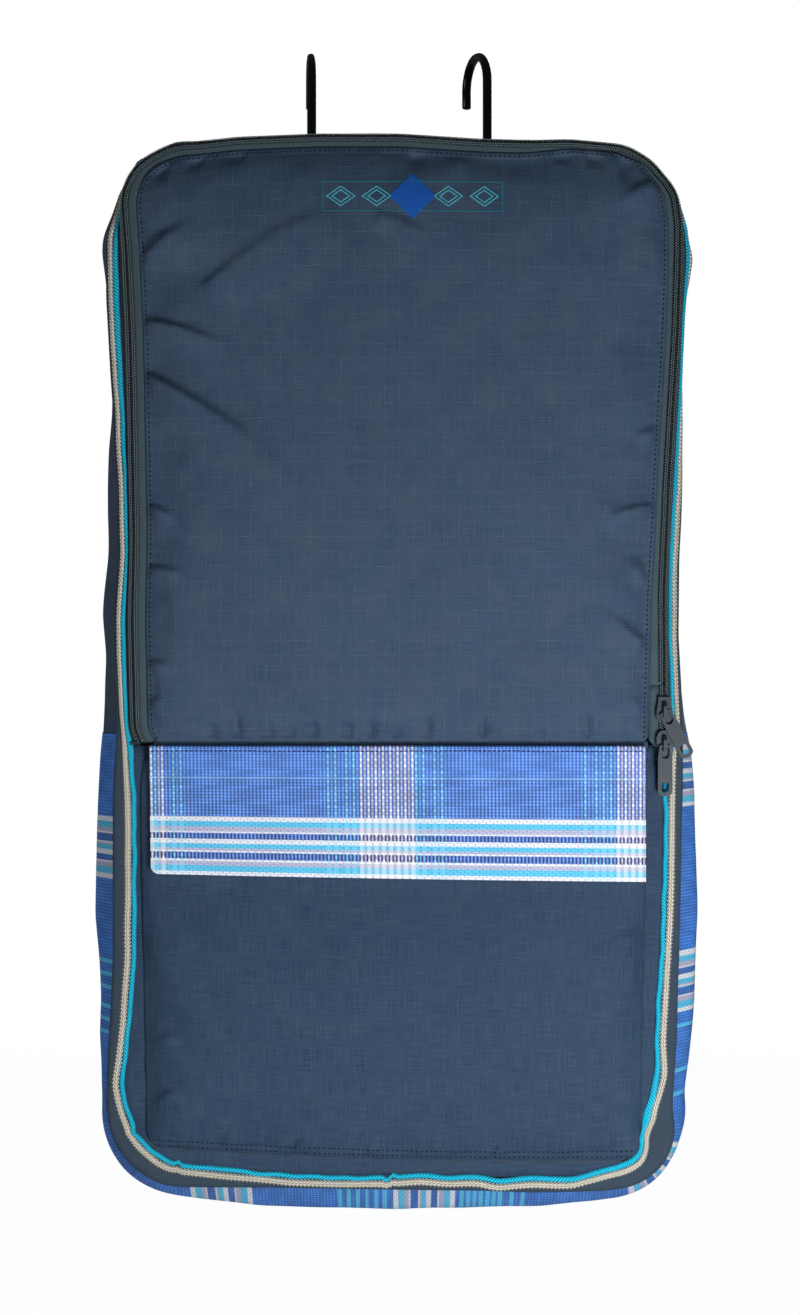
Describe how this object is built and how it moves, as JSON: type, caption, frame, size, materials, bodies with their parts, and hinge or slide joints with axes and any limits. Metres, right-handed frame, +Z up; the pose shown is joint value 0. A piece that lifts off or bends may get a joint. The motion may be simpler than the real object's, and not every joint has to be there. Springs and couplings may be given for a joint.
{
  "type": "bridle bag",
  "caption": "Hanging padded bag with a zipped fold-down front door, a flapped patch pocket, a revolving inner hook and swivelling rod hooks on top.",
  "frame": {"origin": "midway between the two hook stems, level with the undersides of the hook crowns, where the rail passes", "axes": "+X to the right seen from the front, -Y out of the front of the bag, +Z up"},
  "size_m": [0.381, 0.1334, 0.736],
  "materials": {
    "ripstop": "coated ripstop weave, slight sheen",
    "plaid_mesh": "open plastic-coated mesh in a plaid",
    "webbing": "woven binding, navy with tan and cyan stripes",
    "zip_tape": "woven tape, matt",
    "zip_coil": "nylon coil",
    "zip_metal": "painted zinc casting, satin",
    "black_rod": "glossy black enamel",
    "steel": "zinc plated",
    "foam": "closed-cell foam sheet",
    "lining": "plain nylon lining",
    "board": "bare plywood",
    "closure": "hook-and-loop tape"
  },
  "bodies": {
    "bag": {"upper_gusset": "ripstop", "lower_gusset": "plaid_mesh", "back_shell": "ripstop", "back_padding": "foam", "back_lining": "lining", "front_binding_lower": "webbing", "front_binding_top": "webbing", "front_binding_left": "webbing", "front_binding_right": "webbing", "back_binding": "webbing", "frame_zip_tape": "zip_tape", "frame_zip_coil": "zip_coil", "door_zip_tape_end": "zip_tape", "door_zip_coil_end": "zip_coil", "left_zip_stop": "zip_metal", "right_zip_stop": "zip_metal", "front_base_panel": "ripstop", "pocket_panel": "ripstop", "pocket_loop_strip": "closure", "flap_top_band": "plaid_mesh", "hanger_board": "board", "left_grommet": "steel", "right_grommet": "steel", "swivel_bolt": "steel", "swivel_nut": "steel"},
    "door": {"door_shell": "ripstop", "door_padding": "foam", "door_lining": "lining", "door_zip_tape": "zip_tape", "door_zip_coil": "zip_coil"},
    "flap": {"pocket_flap": "plaid_mesh", "flap_hook_strip": "closure"},
    "left_hanging_hook": {"left_hook": "black_rod", "left_hook_washer": "steel", "left_hook_nut": "steel"},
    "right_hanging_hook": {"right_hook": "black_rod", "right_hook_washer": "steel", "right_hook_nut": "steel"},
    "revolving_hook": {"bridle_hook": "steel"},
    "lower_zip_slider": {"lower_slider": "zip_metal"},
    "upper_zip_slider": {"upper_slider": "zip_metal"},
    "lower_pull": {"lower_pull_tab": "zip_metal"},
    "upper_pull": {"upper_pull_tab": "zip_metal"}
  },
  "joints": [
    {"name": "door_hinge", "type": "hinge", "parent": "bag", "child": "door", "pos_m": [0, -0.06695, -0.4376], "axis": [1, 0, 0], "range_deg": [0, 175]},
    {"name": "flap_fold", "type": "hinge", "parent": "bag", "child": "flap", "pos_m": [0, -0.0683, -0.4436], "axis": [1, 0, 0], "range_deg": [-120, 0]},
    {"name": "left_hook_swivel", "type": "hinge", "parent": "bag", "child": "left_hanging_hook", "pos_m": [-0.056, 0, -0.0628], "axis": [0, 0, 1], "continuous": true},
    {"name": "right_hook_swivel", "type": "hinge", "parent": "bag", "child": "right_hanging_hook", "pos_m": [0.056, 0, -0.0628], "axis": [0, 0, 1], "continuous": true},
    {"name": "bridle_hook_swivel", "type": "hinge", "parent": "bag", "child": "revolving_hook", "pos_m": [0, 0, -0.0682], "axis": [0, 0, 1], "continuous": true},
    {"name": "lower_slider_slide", "type": "slide", "parent": "bag", "child": "lower_zip_slider", "axis": [0, 0, 1], "range_m": [0, 0.07]},
    {"name": "upper_slider_slide", "type": "slide", "parent": "lower_zip_slider", "child": "upper_zip_slider", "axis": [0, 0, 1], "range_m": [0, 0.19]},
    {"name": "lower_pull_swing", "type": "hinge", "parent": "lower_zip_slider", "child": "lower_pull", "pos_m": [0.1632, -0.0667, -0.4382], "axis": [1, 0, 0], "range_deg": [-115, 0]},
    {"name": "upper_pull_swing", "type": "hinge", "parent": "upper_zip_slider", "child": "upper_pull", "pos_m": [0.1632, -0.0667, -0.4176], "axis": [0.8829, 0, 0.4695], "range_deg": [-115, 0]}
  ]
}
